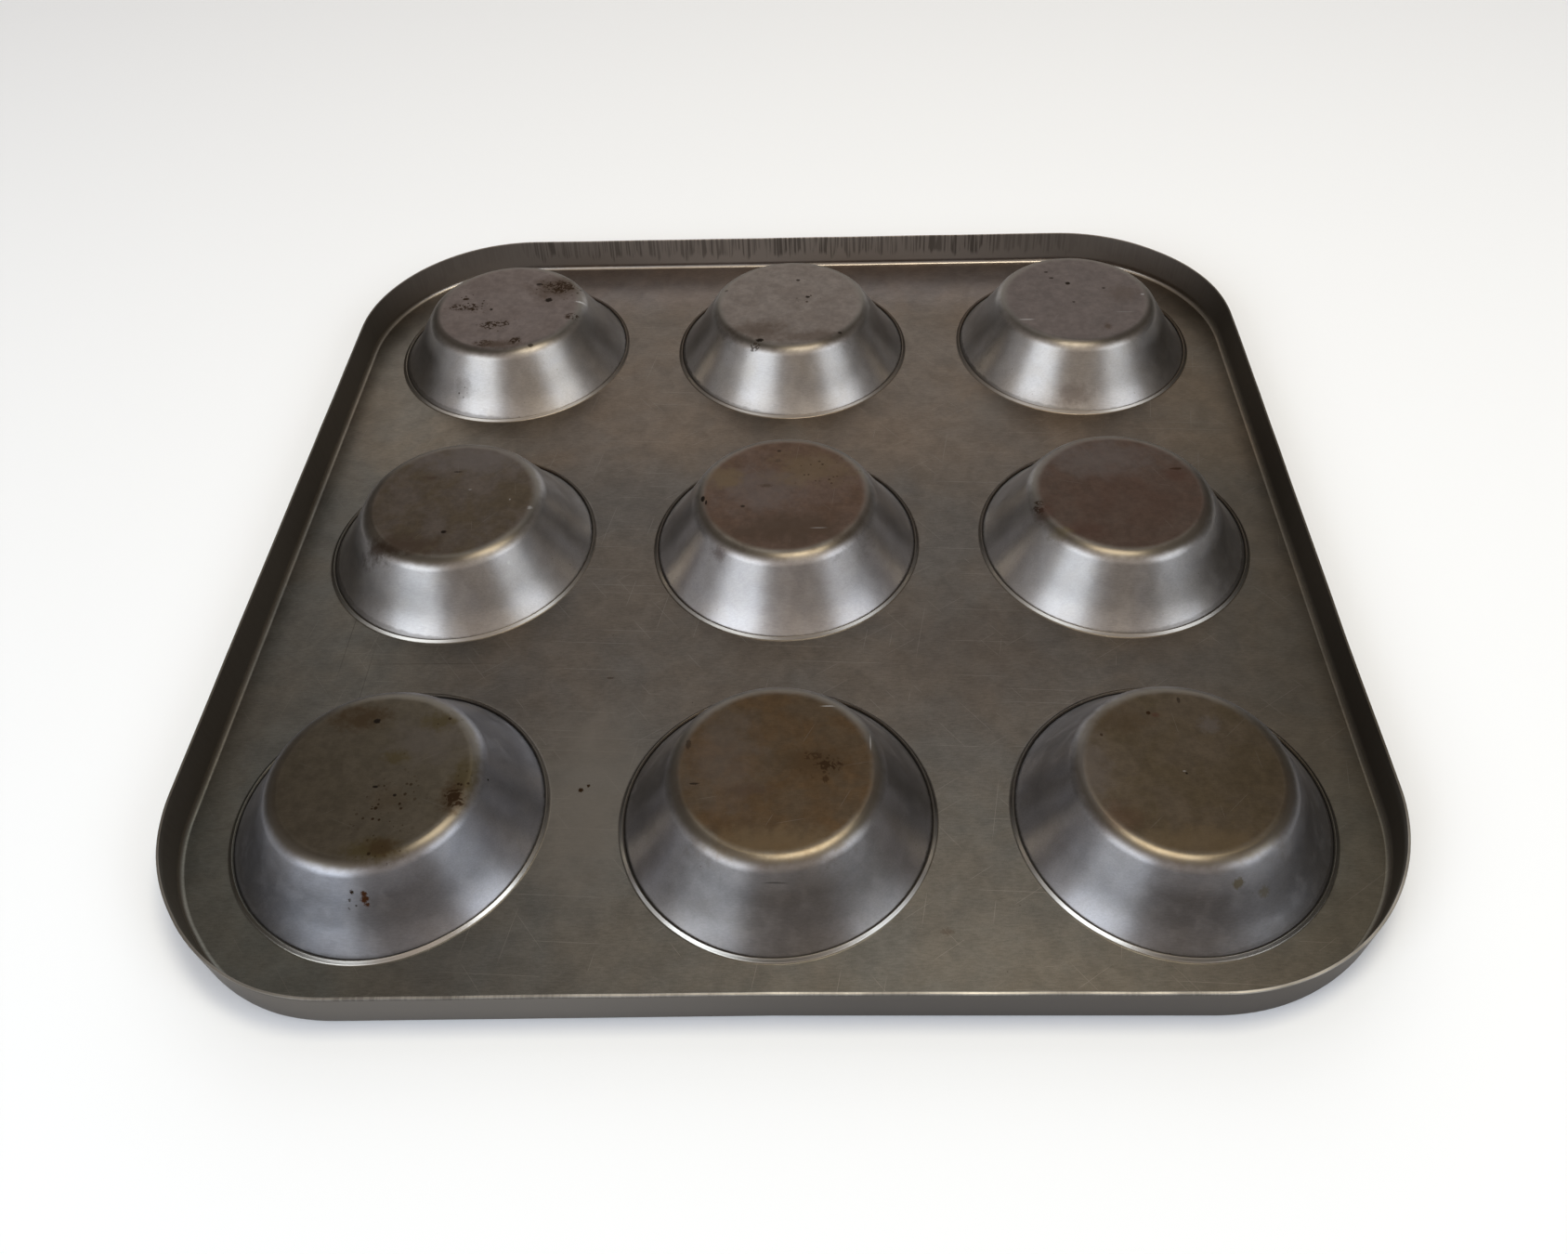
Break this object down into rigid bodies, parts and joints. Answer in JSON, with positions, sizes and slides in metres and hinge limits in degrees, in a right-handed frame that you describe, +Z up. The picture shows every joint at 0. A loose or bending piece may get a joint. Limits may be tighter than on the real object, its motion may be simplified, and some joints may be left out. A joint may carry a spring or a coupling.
{
  "type": "muffin pan",
  "caption": "Square steel bun and muffin pan, lying turned over: shallow tapered cups seamed into a flat plate with round corners and a turned rim.",
  "frame": {"origin": "on the surface that the turned-over pan lies on, under the middle of the centre cup", "axes": "+Z up, out of the cups' bases; -Y is the front, where the picture was taken from; +X is to its right"},
  "size_m": [0.3706, 0.3706, 0.0245],
  "materials": {
    "plate_steel": "satin sheet steel with a brown-grey bake patina, fine scratches and specks",
    "cup_steel": "satin drawn steel, bluish on the walls, with brown stains and rust specks on the bases"
  },
  "bodies": {
    "root": {"pan_plate": "plate_steel", "cup_front_left": "cup_steel", "cup_front_middle": "cup_steel", "cup_front_right": "cup_steel", "cup_middle_left": "cup_steel", "cup_middle_middle": "cup_steel", "cup_middle_right": "cup_steel", "cup_back_left": "cup_steel", "cup_back_middle": "cup_steel", "cup_back_right": "cup_steel"}
  },
  "joints": []
}
